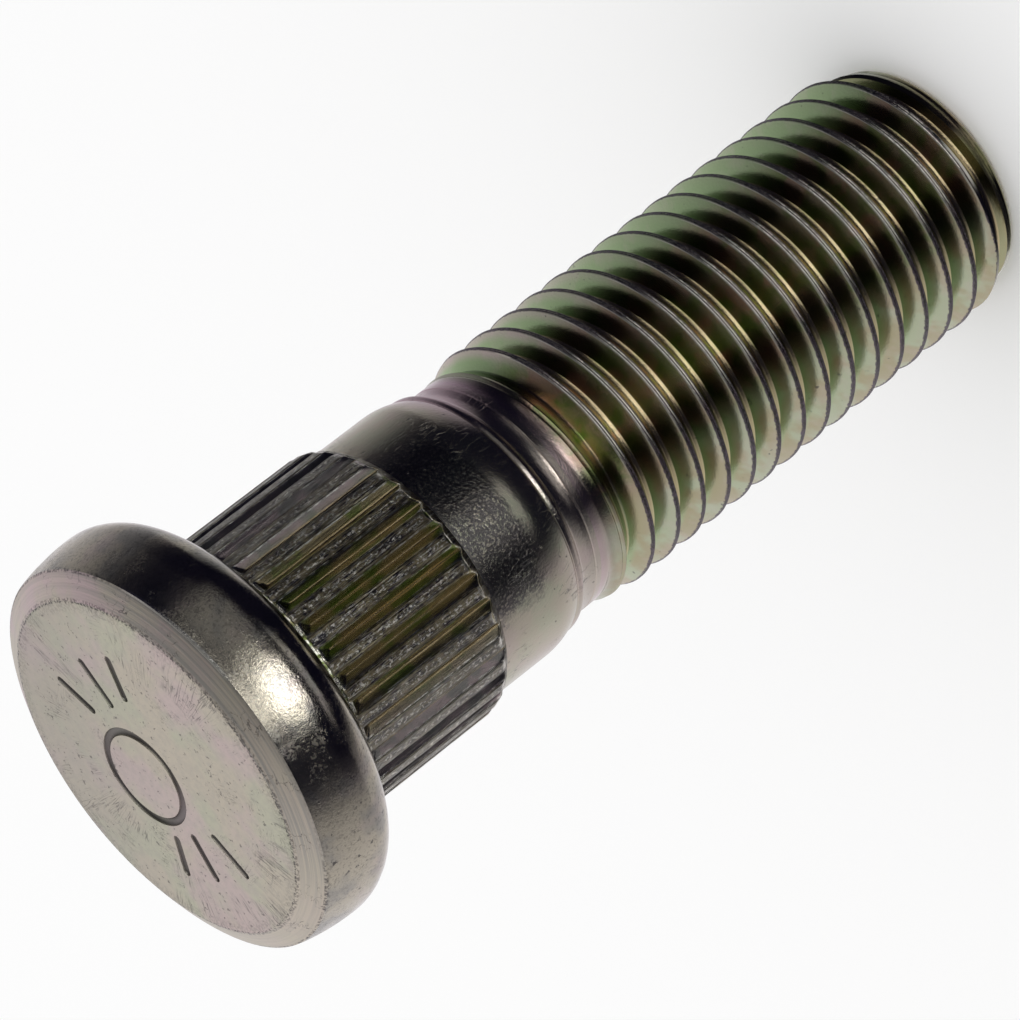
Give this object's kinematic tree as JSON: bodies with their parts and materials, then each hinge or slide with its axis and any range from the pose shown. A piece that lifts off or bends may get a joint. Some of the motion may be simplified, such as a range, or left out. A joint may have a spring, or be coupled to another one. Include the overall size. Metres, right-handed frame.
{
  "type": "wheel stud",
  "caption": "Press-in wheel stud: round bevelled head, straight serrations, plain shoulder and a right-hand rolled thread with a tapered end.",
  "frame": {"origin": "centre of the flat threaded end, on the surface that the stud stands on", "axes": "+Z along the stud's axis, from the threaded end up to the head; +X and +Y square to it"},
  "size_m": [0.0186, 0.0184, 0.0449],
  "materials": {
    "plated_steel": "dull zinc plating with a thin green and pink sheen"
  },
  "bodies": {
    "root": {"wheel_stud": "plated_steel"}
  },
  "joints": []
}
